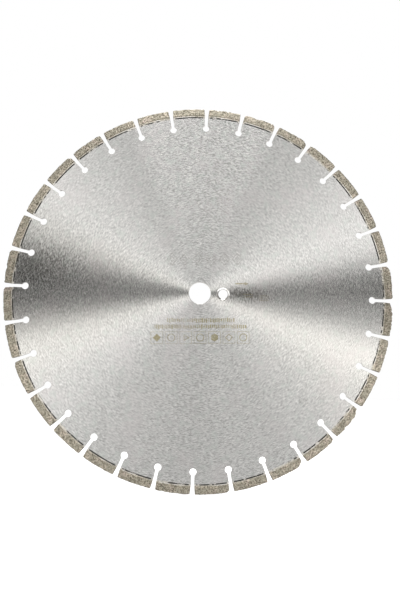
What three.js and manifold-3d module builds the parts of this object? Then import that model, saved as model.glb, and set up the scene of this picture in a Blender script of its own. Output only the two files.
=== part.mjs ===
// A segmented diamond saw blade for concrete, 450 mm across: a flat ground steel core with keyhole
// gullets, and one sintered diamond segment laser-welded to each land between two gullets.
// Millimetres, +Z up. The blade stands upright with the centre of its bore at the origin and turns
// about +Y. Its marked front face looks along -Y, and one gullet and the drive pin hole lie on +X.

import * as THREE from "three";
import { mergeVertices } from "three/addons/utils/BufferGeometryUtils.js";
import Module from "manifold-3d";

// The whole blade
const BLADE_RADIUS = 225;
const SEGMENT_COUNT = 32;
const PITCH = (2 * Math.PI) / SEGMENT_COUNT;

// Segments: a diamond-free foot is sintered in one piece with the diamond layer that stands on it.
const SEGMENT_HEIGHT = 10;
const SEGMENT_LENGTH = 38.2;
const SEGMENT_THICKNESS = 3.6;
const FOOT_HEIGHT = 2.1;
const FOOT_THICKNESS = 3.0;
const WELD_GAP = 0.3;
const SEGMENT_ARC_STEPS = 8;

// Steel core
const CORE_RADIUS = BLADE_RADIUS - SEGMENT_HEIGHT;
const CORE_THICKNESS = 2.6;
const LAND_ARC_STEPS = 8;

// Keyhole gullets: a straight slot that ends in a round stress-relief hole
const SLOT_WIDTH = 3.7;
const SLOT_CORNER = 0.7;
const KEYHOLE_RADIUS = 4;
const KEYHOLE_CENTRE = 201;
const KEYHOLE_STEPS = 14;

// Arbor bore and drive pin hole
const BORE_RADIUS = 12.7;
const BORE_CHAMFER = 0.4;
const BORE_STEPS = 96;
const PIN_HOLE_RADIUS = 5.6;
const PIN_HOLE_CENTRE = 27;
const PIN_COUNTERSINK = 1.9;
const PIN_BACK_CHAMFER = 0.3;
const PIN_HOLE_STEPS = 48;

// How far a cutter or a joined part runs past the surface that it meets
const OVERRUN = 1;
const FOOT_OVERLAP = 0.4;

const wasm = await Module();
wasm.setup();

const materials = {
  steel: new THREE.MeshStandardMaterial({ color: 0xbcbbb7, roughness: 0.38, metalness: 1 }),
  segment: new THREE.MeshStandardMaterial({ color: 0x9a9282, roughness: 0.8, metalness: 0.4 }),
};

// A manifold-3d solid of a closed three.js geometry.
function solidOf(geometry) {
  const bare = geometry.clone();
  bare.deleteAttribute("normal");
  bare.deleteAttribute("uv");
  const merged = mergeVertices(bare, 1e-4);
  return new wasm.Manifold(
    new wasm.Mesh({
      numProp: 3,
      vertProperties: new Float32Array(merged.attributes.position.array),
      triVerts: new Uint32Array(merged.index.array),
    }),
  );
}

// A flat-shaded three.js geometry of a manifold-3d solid.
function geometryOf(solid) {
  const mesh = solid.getMesh();
  const geometry = new THREE.BufferGeometry();
  geometry.setAttribute("position", new THREE.BufferAttribute(mesh.vertProperties, mesh.numProp));
  geometry.setIndex(new THREE.BufferAttribute(mesh.triVerts, 1));
  const faceted = geometry.toNonIndexed();
  faceted.computeVertexNormals();
  return faceted;
}

// Points on an arc about a centre, both ends included.
function arcPoints(centre, radius, startAngle, endAngle, steps) {
  const points = [];
  for (let step = 0; step <= steps; step++) {
    const angle = startAngle + ((endAngle - startAngle) * step) / steps;
    const x = centre.x + radius * Math.cos(angle);
    const y = centre.y + radius * Math.sin(angle);
    points.push(new THREE.Vector2(x, y));
  }
  return points;
}

// A plate of even thickness, lying in XY and centred on it.
function plate(shape, thickness) {
  const geometry = new THREE.ExtrudeGeometry(shape, { depth: thickness, bevelEnabled: false });
  return geometry.translate(0, 0, -thickness / 2);
}

// A round hole of a plate's outline.
function roundHole(centre, radius, steps) {
  const points = arcPoints(centre, radius, 0, -2 * Math.PI, steps);
  points.pop();
  return new THREE.Path(points);
}

// The half-angle that a half-width takes up at a radius.
function halfAngle(halfWidth, radius) {
  return Math.asin(halfWidth / radius);
}

// One gullet of the core's outline, on +X: in along the lower flank, round the hole, out again.
function gulletPoints() {
  const halfSlot = SLOT_WIDTH / 2;
  const mouth = halfAngle(halfSlot + SLOT_CORNER, CORE_RADIUS);
  const neck = Math.asin(halfSlot / KEYHOLE_RADIUS);
  const flankTop = CORE_RADIUS - SLOT_CORNER;
  const hole = new THREE.Vector2(KEYHOLE_CENTRE, 0);
  const rimPoint = (angle) =>
    new THREE.Vector2(CORE_RADIUS * Math.cos(angle), CORE_RADIUS * Math.sin(angle));
  return [
    rimPoint(-mouth),
    new THREE.Vector2(flankTop, -halfSlot),
    ...arcPoints(hole, KEYHOLE_RADIUS, -neck, neck - 2 * Math.PI, KEYHOLE_STEPS),
    new THREE.Vector2(flankTop, halfSlot),
    rimPoint(mouth),
  ];
}

// The core's outline: a gullet and the land that follows it, once for each segment.
function coreShape() {
  const centre = new THREE.Vector2(0, 0);
  const mouth = halfAngle(SLOT_WIDTH / 2 + SLOT_CORNER, CORE_RADIUS);
  const gullet = gulletPoints();
  const outline = [];
  for (let index = 0; index < SEGMENT_COUNT; index++) {
    const angle = index * PITCH;
    outline.push(...gullet.map((point) => point.clone().rotateAround(centre, angle)));
    const land = arcPoints(
      centre,
      CORE_RADIUS,
      angle + mouth,
      angle + PITCH - mouth,
      LAND_ARC_STEPS,
    );
    outline.push(...land.slice(1, -1));
  }
  const shape = new THREE.Shape(outline);
  shape.holes.push(roundHole(centre, BORE_RADIUS, BORE_STEPS));
  shape.holes.push(
    roundHole(new THREE.Vector2(PIN_HOLE_CENTRE, 0), PIN_HOLE_RADIUS, PIN_HOLE_STEPS),
  );
  return shape;
}

// A ring with a three-cornered section that cuts a 45 degree chamfer round a hole in the core.
// side is 1 for the front face and -1 for the back face.
function chamferCutter(centreX, radius, size, side, steps) {
  const face = CORE_THICKNESS / 2;
  const inner = radius - OVERRUN;
  const section = [
    new THREE.Vector2(inner, face - size - OVERRUN),
    new THREE.Vector2(radius + size + OVERRUN, face + OVERRUN),
    new THREE.Vector2(inner, face + OVERRUN),
    new THREE.Vector2(inner, face - size - OVERRUN),
  ];
  const ring = new THREE.LatheGeometry(section, steps);
  ring.rotateX((side * Math.PI) / 2);
  ring.translate(centreX, 0, 0);
  return solidOf(ring);
}

function makeCore() {
  let solid = solidOf(plate(coreShape(), CORE_THICKNESS));
  const cutters = [
    chamferCutter(0, BORE_RADIUS, BORE_CHAMFER, 1, BORE_STEPS),
    chamferCutter(0, BORE_RADIUS, BORE_CHAMFER, -1, BORE_STEPS),
    chamferCutter(PIN_HOLE_CENTRE, PIN_HOLE_RADIUS, PIN_COUNTERSINK, 1, PIN_HOLE_STEPS),
    chamferCutter(PIN_HOLE_CENTRE, PIN_HOLE_RADIUS, PIN_BACK_CHAMFER, -1, PIN_HOLE_STEPS),
  ];
  for (const cutter of cutters) {
    solid = solid.subtract(cutter);
  }
  const core = new THREE.Mesh(geometryOf(solid), materials.steel);
  core.name = "steel_core";
  return core;
}

// A slab between two radii, centred on +X, with parallel ends one segment length apart.
function segmentSlab(innerRadius, outerRadius, thickness) {
  const centre = new THREE.Vector2(0, 0);
  const outer = halfAngle(SEGMENT_LENGTH / 2, outerRadius);
  const inner = halfAngle(SEGMENT_LENGTH / 2, innerRadius);
  const outline = [
    ...arcPoints(centre, outerRadius, -outer, outer, SEGMENT_ARC_STEPS),
    ...arcPoints(centre, innerRadius, inner, -inner, SEGMENT_ARC_STEPS),
  ];
  return plate(new THREE.Shape(outline), thickness);
}

// A segment: the thinner foot that is welded to the core, and the diamond layer that cuts.
function makeSegmentGeometry() {
  const footInner = CORE_RADIUS + WELD_GAP;
  const footOuter = footInner + FOOT_HEIGHT;
  const foot = solidOf(segmentSlab(footInner, footOuter + FOOT_OVERLAP, FOOT_THICKNESS));
  const layer = solidOf(segmentSlab(footOuter, BLADE_RADIUS, SEGMENT_THICKNESS));
  return geometryOf(foot.add(layer));
}

// The segments, numbered anticlockwise from +X as seen from the front.
function makeSegments() {
  const geometry = makeSegmentGeometry();
  const segments = [];
  for (let index = 0; index < SEGMENT_COUNT; index++) {
    const segment = new THREE.Mesh(geometry, materials.segment.clone());
    segment.name = `segment_${String(index + 1).padStart(2, "0")}`;
    segment.rotation.z = (index + 0.5) * PITCH;
    segments.push(segment);
  }
  return segments;
}

// The blade is drawn lying in XY with its front face up, then stood upright to face -Y.
const blade = new THREE.Group();
blade.add(makeCore(), ...makeSegments());
blade.rotation.x = Math.PI / 2;

const root = new THREE.Group();
root.add(blade);

export default root;
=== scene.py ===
"""Looks of a segmented diamond saw blade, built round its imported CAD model.

A ground steel core with keyhole gullets carries 32 sintered diamond segments, each laser-welded to
its own land. Lengths are metres and +Z is up. The blade stands on its rim: its axis is Y, its
marked front face looks along -Y, and one gullet and the drive pin hole lie on +X. Angles round the
blade run anticlockwise from +X, as seen from the front.
"""

import logging
import math
import random
from collections.abc import Callable, Iterable, Sequence
from dataclasses import dataclass, field
from enum import Enum

import bmesh
import bpy
from mathutils import Matrix, Vector, noise


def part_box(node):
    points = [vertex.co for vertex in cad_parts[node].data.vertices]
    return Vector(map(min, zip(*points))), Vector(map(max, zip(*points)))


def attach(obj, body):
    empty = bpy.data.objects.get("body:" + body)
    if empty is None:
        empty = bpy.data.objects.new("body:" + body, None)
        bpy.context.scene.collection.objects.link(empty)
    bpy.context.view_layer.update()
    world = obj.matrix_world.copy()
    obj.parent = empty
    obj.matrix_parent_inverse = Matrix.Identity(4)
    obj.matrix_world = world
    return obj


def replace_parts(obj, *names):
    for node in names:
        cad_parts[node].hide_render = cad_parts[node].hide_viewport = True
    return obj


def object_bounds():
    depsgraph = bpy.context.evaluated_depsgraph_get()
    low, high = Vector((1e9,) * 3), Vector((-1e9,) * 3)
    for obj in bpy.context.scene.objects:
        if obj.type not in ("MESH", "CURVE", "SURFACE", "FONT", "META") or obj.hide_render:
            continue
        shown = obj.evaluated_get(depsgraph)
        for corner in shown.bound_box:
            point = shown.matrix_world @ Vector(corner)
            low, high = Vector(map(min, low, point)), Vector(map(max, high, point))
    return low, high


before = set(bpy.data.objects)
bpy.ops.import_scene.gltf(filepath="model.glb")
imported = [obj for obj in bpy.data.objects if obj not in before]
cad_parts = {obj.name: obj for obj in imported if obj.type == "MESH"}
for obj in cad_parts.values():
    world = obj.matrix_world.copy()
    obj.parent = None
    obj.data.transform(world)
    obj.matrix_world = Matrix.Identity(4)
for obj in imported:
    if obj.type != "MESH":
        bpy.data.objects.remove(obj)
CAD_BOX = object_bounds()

log = logging.getLogger("diamond_blade")

MM = 0.001
TINY = 0.001 * MM  # points closer than this are one point
FLAT = 0.9999  # a face whose normal has more than this along Y lies flat on the blade
OUTWARD = Vector((0.0, -1.0, 0.0))
UP = Vector((0.0, 0.0, 1.0))
CENTRE = Vector((0.0, 0.0, 0.0))
LANDS = 32
PITCH = math.tau / LANDS
SHARP = math.radians(25)
SHARP_IF_ROUGH = math.radians(50)

Colour = tuple[float, float, float]

# Dark spots on the ground faces: a small spot of oil, and painted dark reflection that deepens the dark
# fans.
OIL_AND_SHADE: Colour = (0.12, 0.11, 0.085)
# Dark patches on the segments: painted dark reflection in the dark fans at the sides, and a darkening of
# the lowest segments.
BOND_SHADE_AND_DARKENING: Colour = (0.10, 0.09, 0.07)


class Slot(Enum):
    """The record's material slots."""

    GROUND_STEEL = "ground_steel"
    SINTERED_BOND = "sintered_bond"


class Side(Enum):
    """The blade's two faces, by the sign of Y."""

    FRONT = -1
    BACK = 1


class Axis(Enum):
    """The directions of a segment on the bench: along its length, through it, and outwards."""

    LENGTH = 0
    THROUGH = 1
    HEIGHT = 2


# ---------------------------------------------------------------- geometry


def polar(radius: float, angle: float, y: float = 0.0) -> Vector:
    """A point at a radius and an angle round the blade's axis, y back from its mid-plane."""
    return Vector((radius * math.cos(angle), y, radius * math.sin(angle)))


def ramp(value: float, low: float, high: float) -> float:
    """How far a value is from low to high, smoothed, from 0 to 1."""
    share = min(1.0, max(0.0, (value - low) / (high - low)))
    return share * share * (3.0 - 2.0 * share)


def mid_angle(number: int) -> float:
    """The angle round the blade of the middle of a land, which are numbered from 1."""
    return (number - 0.5) * PITCH


def noise_place(draw: random.Random) -> Vector:
    """A place in the noise for one piece, so that no two pieces look alike."""
    return Vector((draw.uniform(0, 90), draw.uniform(0, 90), draw.uniform(0, 90)))


@dataclass(frozen=True)
class Reach:
    """How far a CAD node reaches: its radii from the blade's axis, and its two faces."""

    inner: float
    outer: float
    front: float
    back: float

    @classmethod
    def of(cls, node: str) -> "Reach":
        """Measures a node.

        Args:
            node: the CAD node's name.

        Returns:
            The node's reach.
        """
        low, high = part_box(node)
        radii = [math.hypot(v.co.x, v.co.z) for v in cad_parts[node].data.vertices]
        return cls(min(radii), max(radii), low.y, high.y)


class Outline:
    """A pen that draws an outline in the blade's mid-plane, one straight or arc after another."""

    def __init__(self, bm: bmesh.types.BMesh, start: Vector) -> None:
        """Sets the pen down.

        Args:
            bm: the mesh to draw in.
            start: the outline's first point.
        """
        self.bm = bm
        self.verts = [bm.verts.new(start)]

    def line(self, end: Vector) -> "Outline":
        """Draws a straight to a point.

        Args:
            end: the point.

        Returns:
            The same outline.
        """
        made = bmesh.ops.extrude_vert_indiv(self.bm, verts=self.verts[-1:])["verts"][0]
        made.co = end
        self.verts.append(made)
        return self

    def arc(self, centre: Vector, angle: float, steps: int) -> "Outline":
        """Draws an arc, anticlockwise where the angle is positive.

        Args:
            centre: the arc's centre.
            angle: how far it turns, in radians.
            steps: how many straight steps it takes.

        Returns:
            The same outline.
        """
        for _ in range(steps):
            spun = bmesh.ops.spin(
                self.bm,
                geom=self.verts[-1:],
                cent=centre,
                axis=OUTWARD,
                angle=angle / steps,
                steps=1,
                use_duplicate=False,
            )
            self.verts.append(next(g for g in spun["geom_last"] if isinstance(g, bmesh.types.BMVert)))
        return self

    def fill(self) -> bmesh.types.BMFace:
        """Closes the outline and fills it with one face."""
        return self.bm.faces.new(self.verts)


def everything(bm: bmesh.types.BMesh) -> list:
    """All the vertices, edges and faces of a mesh."""
    return bm.verts[:] + bm.edges[:] + bm.faces[:]


def thicken(bm: bmesh.types.BMesh, faces: Iterable[bmesh.types.BMFace], depth: Vector) -> None:
    """Pulls flat faces out into a closed solid.

    Args:
        bm: the mesh.
        faces: the flat faces.
        depth: which way and how far the new side moves.
    """
    made = bmesh.ops.extrude_face_region(bm, geom=list(faces))["geom"]
    bmesh.ops.translate(bm, verts=[g for g in made if isinstance(g, bmesh.types.BMVert)], vec=depth)


def bevel_edges(
    bm: bmesh.types.BMesh, edges: Iterable[bmesh.types.BMEdge], leg: float, segments: int
) -> None:
    """Bevels edges, each face giving up one leg of the bevel.

    Args:
        bm: the mesh.
        edges: the edges.
        leg: the bevel's leg on each face.
        segments: 1 for a flat chamfer, more for a rounder edge.
    """
    bmesh.ops.bevel(
        bm,
        geom=list(edges),
        offset=leg,
        offset_type="OFFSET",
        segments=segments,
        profile=0.5,
        affect="EDGES",
        material=-1,
    )


def slice_along(
    bm: bmesh.types.BMesh, axis: Axis, cuts: int, low: float = -1.0, high: float = 1.0
) -> None:
    """Cuts a box across one axis into even slices.

    Args:
        bm: the mesh, whose edges run along the axes.
        axis: the axis that the cuts divide.
        cuts: how many cuts.
        low: edges whose middle lies below this height are left whole.
        high: edges whose middle lies above this height are left whole.
    """
    edges = []
    for edge in bm.edges:
        run = edge.verts[1].co - edge.verts[0].co
        middle = (edge.verts[0].co.z + edge.verts[1].co.z) / 2
        if abs(run[axis.value]) > 0.9 * run.length and low < middle < high:
            edges.append(edge)
    bmesh.ops.subdivide_edges(bm, edges=edges, cuts=cuts, use_grid_fill=True)


def bend_to_rim(bm: bmesh.types.BMesh, base: float, number: int, mirrored: bool = False) -> None:
    """Bends a bench piece, which lies along X with its height up, and carries it to its land.

    Args:
        bm: the mesh.
        base: the radius round the blade at which height 0 ends up.
        number: the land's number.
        mirrored: whether to turn the piece end for end, so that +X comes last, anticlockwise.
    """
    for vert in bm.verts:
        radius = base + vert.co.z
        vert.co.z = math.sqrt(radius * radius - vert.co.x * vert.co.x)
    matrix = Matrix.Rotation(math.pi / 2 - mid_angle(number), 4, "Y")
    if mirrored:
        matrix = matrix @ Matrix.Scale(-1.0, 4, Vector((1.0, 0.0, 0.0)))
    bmesh.ops.transform(bm, matrix=matrix, verts=bm.verts[:])


def finish_piece(
    bm: bmesh.types.BMesh,
    name: str,
    materials: Sequence[bpy.types.Material],
    sharp: float = SHARP,
) -> bpy.types.Object:
    """Turns a mesh under construction into a piece that rides on the blade.

    Args:
        bm: the mesh, which is freed.
        name: the piece's name.
        materials: its materials, in the order of the faces' material numbers.
        sharp: edges with a larger angle than this stay sharp.

    Returns:
        The new object.
    """
    bmesh.ops.recalc_face_normals(bm, faces=bm.faces[:])
    mesh = bpy.data.meshes.new(name)
    bm.to_mesh(mesh)
    bm.free()
    mesh.set_sharp_from_angle(angle=sharp)
    for polygon in mesh.polygons:
        polygon.use_smooth = abs(polygon.normal.y) < FLAT
    for material in materials:
        mesh.materials.append(material)
    piece = bpy.data.objects.new(name, mesh)
    bpy.context.scene.collection.objects.link(piece)
    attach(piece, "root")
    return piece


# ---------------------------------------------------------------- shading


class Graph:
    """A node tree with short ways to add nodes and join them."""

    def __init__(self, tree: bpy.types.NodeTree) -> None:
        """Wraps a tree."""
        self.tree = tree

    def feed(self, socket: bpy.types.NodeSocket, value: object) -> None:
        """Links a socket to another, or sets its value.

        Args:
            socket: the input.
            value: the output or the value that feeds it.
        """
        if isinstance(value, bpy.types.NodeSocket):
            self.tree.links.new(value, socket)
        else:
            socket.default_value = value

    def add(self, kind: str, inputs: dict | None = None, **settings: object) -> bpy.types.Node:
        """Adds a node.

        Args:
            kind: the node's type.
            inputs: what feeds its sockets, by their name or number.
            settings: the node's own settings.

        Returns:
            The node.
        """
        node = self.tree.nodes.new(kind)
        for key, value in settings.items():
            setattr(node, key, value)
        for key, value in (inputs or {}).items():
            self.feed(node.inputs[key], value)
        return node

    def math(self, operation: str, *values: object) -> bpy.types.NodeSocket:
        """The result of a Math node on these values."""
        return self.add("ShaderNodeMath", dict(enumerate(values)), operation=operation).outputs[0]

    def band(self, value: object, low: float, high: float) -> bpy.types.NodeSocket:
        """How far a value is from low to high, smoothed, from 0 to 1."""
        inputs = {"Value": value, "From Min": low, "From Max": high}
        return self.add("ShaderNodeMapRange", inputs, interpolation_type="SMOOTHSTEP").outputs[0]

    def spread(self, value: object, low: float, high: float) -> bpy.types.NodeSocket:
        """A value from 0 to 1 spread evenly from low to high."""
        inputs = {"Value": value, "To Min": low, "To Max": high}
        return self.add("ShaderNodeMapRange", inputs).outputs[0]

    def mix(self, share: object, first: object, second: object) -> bpy.types.NodeSocket:
        """A blend of two colours.

        Args:
            share: how much of the second, from 0 to 1.
            first: a colour.
            second: another.

        Returns:
            The blend.
        """
        node = self.add("ShaderNodeMix", data_type="RGBA")
        for name, value in (("Factor_Float", share), ("A_Color", first), ("B_Color", second)):
            self.feed(next(s for s in node.inputs if s.identifier == name), value)
        return next(s for s in node.outputs if s.identifier == "Result_Color")

    def noise(
        self, vector: object, scale: object, detail: float = 2.0, roughness: float = 0.5
    ) -> bpy.types.NodeSocket:
        """Cloudy noise from 0 to 1."""
        inputs = {"Vector": vector, "Scale": scale, "Detail": detail, "Roughness": roughness}
        return self.add("ShaderNodeTexNoise", inputs).outputs["Fac"]

    def place(self) -> bpy.types.NodeSocket:
        """Where a point is on the blade."""
        return self.add("ShaderNodeTexCoord").outputs["Object"]

    def radius(self, centre: float = 0.0) -> bpy.types.NodeSocket:
        """How far a point is from an axis along Y through this place on +X."""
        inputs = {0: self.place(), 1: (1.0, 0.0, 1.0), 2: (-centre, 0.0, 0.0)}
        offset = self.add("ShaderNodeVectorMath", inputs, operation="MULTIPLY_ADD").outputs[0]
        return self.add("ShaderNodeVectorMath", {0: offset}, operation="LENGTH").outputs["Value"]

    def from_middle(self) -> bpy.types.NodeSocket:
        """How far a point is, along the rim, from the middle of its own land.

        Returns:
            The distance, 0 or more.
        """
        parts = self.add("ShaderNodeSeparateXYZ", {0: self.place()}).outputs
        turn = self.math("DIVIDE", self.math("ARCTAN2", parts[2], parts[0]), PITCH)
        share = self.math("ABSOLUTE", self.math("SUBTRACT", self.math("FRACT", turn), 0.5))
        return self.math("MULTIPLY", share, self.math("MULTIPLY", self.radius(), PITCH))

    def lay(self, lift: float) -> bpy.types.NodeSocket:
        """The direction across circular grinding marks: outwards, lifted a little at the axis."""
        inputs = {0: self.place(), 1: (1.0, 0.0, 1.0), 2: (0.0, lift, 0.0)}
        return self.add("ShaderNodeVectorMath", inputs, operation="MULTIPLY_ADD").outputs[0]


def opaque(colour: Colour) -> tuple[float, float, float, float]:
    """A colour with full alpha, as a colour socket takes it."""
    return (*colour, 1.0)


class Effects:
    """Effects that several finishes share, each a node group built once."""

    _built: dict[str, bpy.types.NodeTree] = {}

    @classmethod
    def _group(
        cls, name: str, inputs: dict[str, float], outputs: Sequence[str], fill: Callable
    ) -> bpy.types.NodeTree:
        """Builds a group, or finds it if it is already built.

        Args:
            name: the group's name.
            inputs: its number inputs and their defaults.
            outputs: the names of its mask outputs.
            fill: draws the nodes, given the graph and the input node's outputs, and returns the masks.

        Returns:
            The group.
        """
        if name not in cls._built:
            tree = bpy.data.node_groups.new(name, "ShaderNodeTree")
            for label, value in inputs.items():
                socket = tree.interface.new_socket(label, in_out="INPUT", socket_type="NodeSocketFloat")
                socket.default_value = value
            for label in outputs:
                tree.interface.new_socket(label, in_out="OUTPUT", socket_type="NodeSocketFloat")
            graph = Graph(tree)
            masks = fill(graph, graph.add("NodeGroupInput").outputs)
            graph.add("NodeGroupOutput", dict(zip(outputs, masks)))
            cls._built[name] = tree
        return cls._built[name]

    @classmethod
    def grinding(cls) -> bpy.types.NodeTree:
        """Streaks that follow the grinding circles, coarse and fine, and slow clouds of tint.

        Returns:
            The group.
        """

        def fill(graph: Graph, given: Sequence[bpy.types.NodeSocket]) -> tuple:
            """Draws the group.

            Args:
                graph: the group's graph.
                given: the outputs of its input node.

            Returns:
                The masks, in the order of the group's outputs.
            """
            parts = graph.add("ShaderNodeSeparateXYZ", {0: graph.place()}).outputs
            lane = graph.math("ADD", graph.radius(), parts[1])
            across = graph.math("DIVIDE", parts[0], given["Streak Length"])
            up = graph.math("DIVIDE", parts[2], given["Streak Length"])
            masks = []
            for share, detail in ((1.0, 1.5), (0.3, 3.0)):
                width = graph.math("MULTIPLY", given["Streak Width"], share)
                row = graph.math("DIVIDE", lane, width)
                where = graph.add("ShaderNodeCombineXYZ", {0: across, 1: up, 2: row}).outputs[0]
                masks.append(graph.noise(where, 1.0, detail, 0.6))
            scale = graph.math("DIVIDE", 1.0, given["Cloud Size"])
            clouds = graph.noise(graph.place(), scale, 3.0)
            blush = graph.noise(graph.place(), graph.math("MULTIPLY", scale, 5.0), 2.0)
            return (*masks, clouds, blush)

        inputs = {"Streak Length": 6 * MM, "Streak Width": 1.2 * MM, "Cloud Size": 45 * MM}
        return cls._group("grinding_lines", inputs, ("Streaks", "Lines", "Clouds", "Blush"), fill)

    @classmethod
    def grit(cls) -> bpy.types.NodeTree:
        """Pressed metal powder: dark and pale grains, blotches, and slow patches of colour.

        Returns:
            The group.
        """

        def fill(graph: Graph, given: Sequence[bpy.types.NodeSocket]) -> tuple:
            """Draws the group.

            Args:
                graph: the group's graph.
                given: the outputs of its input node.

            Returns:
                The masks, in the order of the group's outputs.
            """
            scale = graph.math("DIVIDE", 1.0, given["Grain Size"])
            cells = graph.add("ShaderNodeTexVoronoi", {"Vector": graph.place(), "Scale": scale})
            tone = graph.add("ShaderNodeSeparateColor", {0: cells.outputs["Color"]}).outputs
            core = graph.band(cells.outputs["Distance"], 0.6, 0.25)
            grains = graph.math("MULTIPLY", graph.band(tone[0], 0.66, 0.74), core)
            flecks = graph.math("MULTIPLY", graph.band(tone[1], 0.78, 0.88), core)
            blotches = graph.noise(graph.place(), graph.math("MULTIPLY", scale, 0.65), 3.0, 0.65)
            patches = graph.noise(graph.place(), graph.math("MULTIPLY", scale, 0.16), 3.0, 0.6)
            powder = graph.noise(graph.place(), graph.math("MULTIPLY", scale, 1.6), 4.0, 0.7)
            return grains, flecks, blotches, patches, powder

        names = ("Grains", "Flecks", "Blotches", "Patches", "Powder")
        return cls._group("pressed_grit", {"Grain Size": 0.9 * MM}, names, fill)

    @classmethod
    def stain_and_shade(cls) -> bpy.types.NodeTree:
        """One soft-edged dark spot on the blade's front face, broken up by a mottle that it is given; it
        lays real oil in some places and painted dark reflection in others.

        Returns:
            The group.
        """

        def fill(graph: Graph, given: Sequence[bpy.types.NodeSocket]) -> tuple:
            """Draws the group.

            Args:
                graph: the group's graph.
                given: the outputs of its input node.

            Returns:
                The masks, in the order of the group's outputs.
            """
            parts = graph.add("ShaderNodeSeparateXYZ", {0: graph.place()}).outputs
            runs = {}
            for part, middle, size in ((0, "X", "Half Width"), (2, "Z", "Half Height")):
                run = graph.math("SUBTRACT", parts[part], given[middle])
                runs[part] = graph.math("DIVIDE", run, given[size])
            offset = graph.add("ShaderNodeCombineXYZ", runs).outputs[0]
            away = graph.add("ShaderNodeVectorMath", {0: offset}, operation="LENGTH").outputs["Value"]
            spot = graph.band(graph.math("MULTIPLY_ADD", given["Mottle"], 0.8, away), 1.5, 0.4)
            thin = graph.math("MULTIPLY", given["Strength"], 0.35)
            uneven = graph.spread(given["Mottle"], given["Strength"], thin)
            front = graph.band(parts[1], 0.0, -0.5 * MM)
            return (graph.math("MULTIPLY", front, graph.math("MULTIPLY", spot, uneven)),)

        inputs = {"X": 0.0, "Z": 0.0, "Half Width": 10 * MM, "Half Height": 10 * MM, "Strength": 0.5}
        return cls._group("stain_and_shade", {**inputs, "Mottle": 0.5}, ("Share",), fill)


@dataclass(frozen=True)
class Finish:
    """What every finish has: a name and the sockets of its shader that are the same all over."""

    name: str
    metallic: float = 1.0
    roughness: float = 0.4
    anisotropic: float = 0.0

    def start(self) -> tuple[Graph, bpy.types.Node, bpy.types.Material]:
        """Makes the material.

        Returns:
            Its graph, its Principled shader and the material itself.
        """
        material = bpy.data.materials.new(self.name)
        material.use_nodes = True
        material.node_tree.nodes.clear()
        graph = Graph(material.node_tree)
        sockets = {"Metallic": self.metallic, "Roughness": self.roughness, "Anisotropic": self.anisotropic}
        shader = graph.add("ShaderNodeBsdfPrincipled", sockets)
        graph.add("ShaderNodeOutputMaterial", {"Surface": shader.outputs[0]})
        return graph, shader, material


@dataclass(frozen=True)
class Tint:
    """A colour laid over a finish where a mask is high."""

    mask: str
    colour: Colour
    low: float
    high: float
    strength: float = 1.0

    def over(
        self, graph: Graph, base: bpy.types.NodeSocket, effect: bpy.types.Node
    ) -> bpy.types.NodeSocket:
        """Lays the tint.

        Args:
            graph: the material's graph.
            base: the colour underneath.
            effect: the group node that puts the mask out.

        Returns:
            The tinted colour.
        """
        share = graph.band(effect.outputs[self.mask], self.low, self.high)
        return graph.mix(graph.math("MULTIPLY", share, self.strength), base, opaque(self.colour))


@dataclass(frozen=True)
class StainAndShade:
    """A soft-edged dark spot on the front face: its middle, its half size and its strength. Some are real
    oil, some painted dark reflection, and one darkens the lowest segments.
    """

    x: float
    z: float
    half_width: float
    half_height: float
    strength: float
    colour: Colour

    def over(
        self, graph: Graph, unspotted: bpy.types.NodeSocket, mottle: bpy.types.NodeSocket
    ) -> bpy.types.NodeSocket:
        """Lays the dark spot.

        Args:
            graph: the material's graph.
            unspotted: the colour underneath.
            mottle: a mask that breaks up the spot.

        Returns:
            The colour with the spot laid on it.
        """
        inputs = {
            "X": self.x,
            "Z": self.z,
            "Half Width": self.half_width,
            "Half Height": self.half_height,
            "Strength": self.strength,
            "Mottle": mottle,
        }
        share = graph.add("ShaderNodeGroup", inputs, node_tree=Effects.stain_and_shade()).outputs["Share"]
        return graph.mix(share, unspotted, opaque(self.colour))


@dataclass(frozen=True)
class GroundSteel(Finish):
    """Steel ground in circles about the blade's axis, so that it spreads light across the circles.

    Its pale streaks are rougher than its dark ones by twice roughness_swing.
    """

    light: Colour = (0.82, 0.81, 0.785)
    dark: Colour = (0.46, 0.455, 0.44)
    tints: tuple[Tint, ...] = (
        Tint("Lines", (0.52, 0.51, 0.49), 0.55, 0.8, 0.5),
        Tint("Clouds", (0.70, 0.66, 0.65), 0.45, 0.75, 0.5),
        Tint("Blush", (0.62, 0.65, 0.61), 0.5, 0.7, 0.45),
    )
    # dark spots on the front face, as given: real oil, and painted dark reflection in the dark fans
    stains_and_shade: tuple[StainAndShade, ...] = ()
    streak_length: float = 3.4 * MM
    streak_width: float = 0.8 * MM
    streak_contrast: tuple[float, float] = (0.28, 0.72)
    roughness_swing: float = 0.033
    lay_lift: float = 1 * MM

    def material(self) -> bpy.types.Material:
        """The steel, with its grinding lines in colour and roughness.

        Returns:
            The material.
        """
        graph, shader, material = self.start()
        sizes = {"Streak Length": self.streak_length, "Streak Width": self.streak_width}
        lines = graph.add("ShaderNodeGroup", sizes, node_tree=Effects.grinding())
        streaks = graph.band(lines.outputs["Streaks"], *self.streak_contrast)
        steel = graph.mix(streaks, opaque(self.dark), opaque(self.light))
        for tint in self.tints:
            steel = tint.over(graph, steel, lines)
        for stain_and_shade in self.stains_and_shade:
            steel = stain_and_shade.over(graph, steel, streaks)
        low = self.roughness - self.roughness_swing
        high = self.roughness + self.roughness_swing
        graph.feed(shader.inputs["Base Color"], steel)
        graph.feed(shader.inputs["Roughness"], graph.spread(streaks, low, high))
        graph.feed(shader.inputs["Tangent"], graph.lay(self.lay_lift))
        return material


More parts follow.
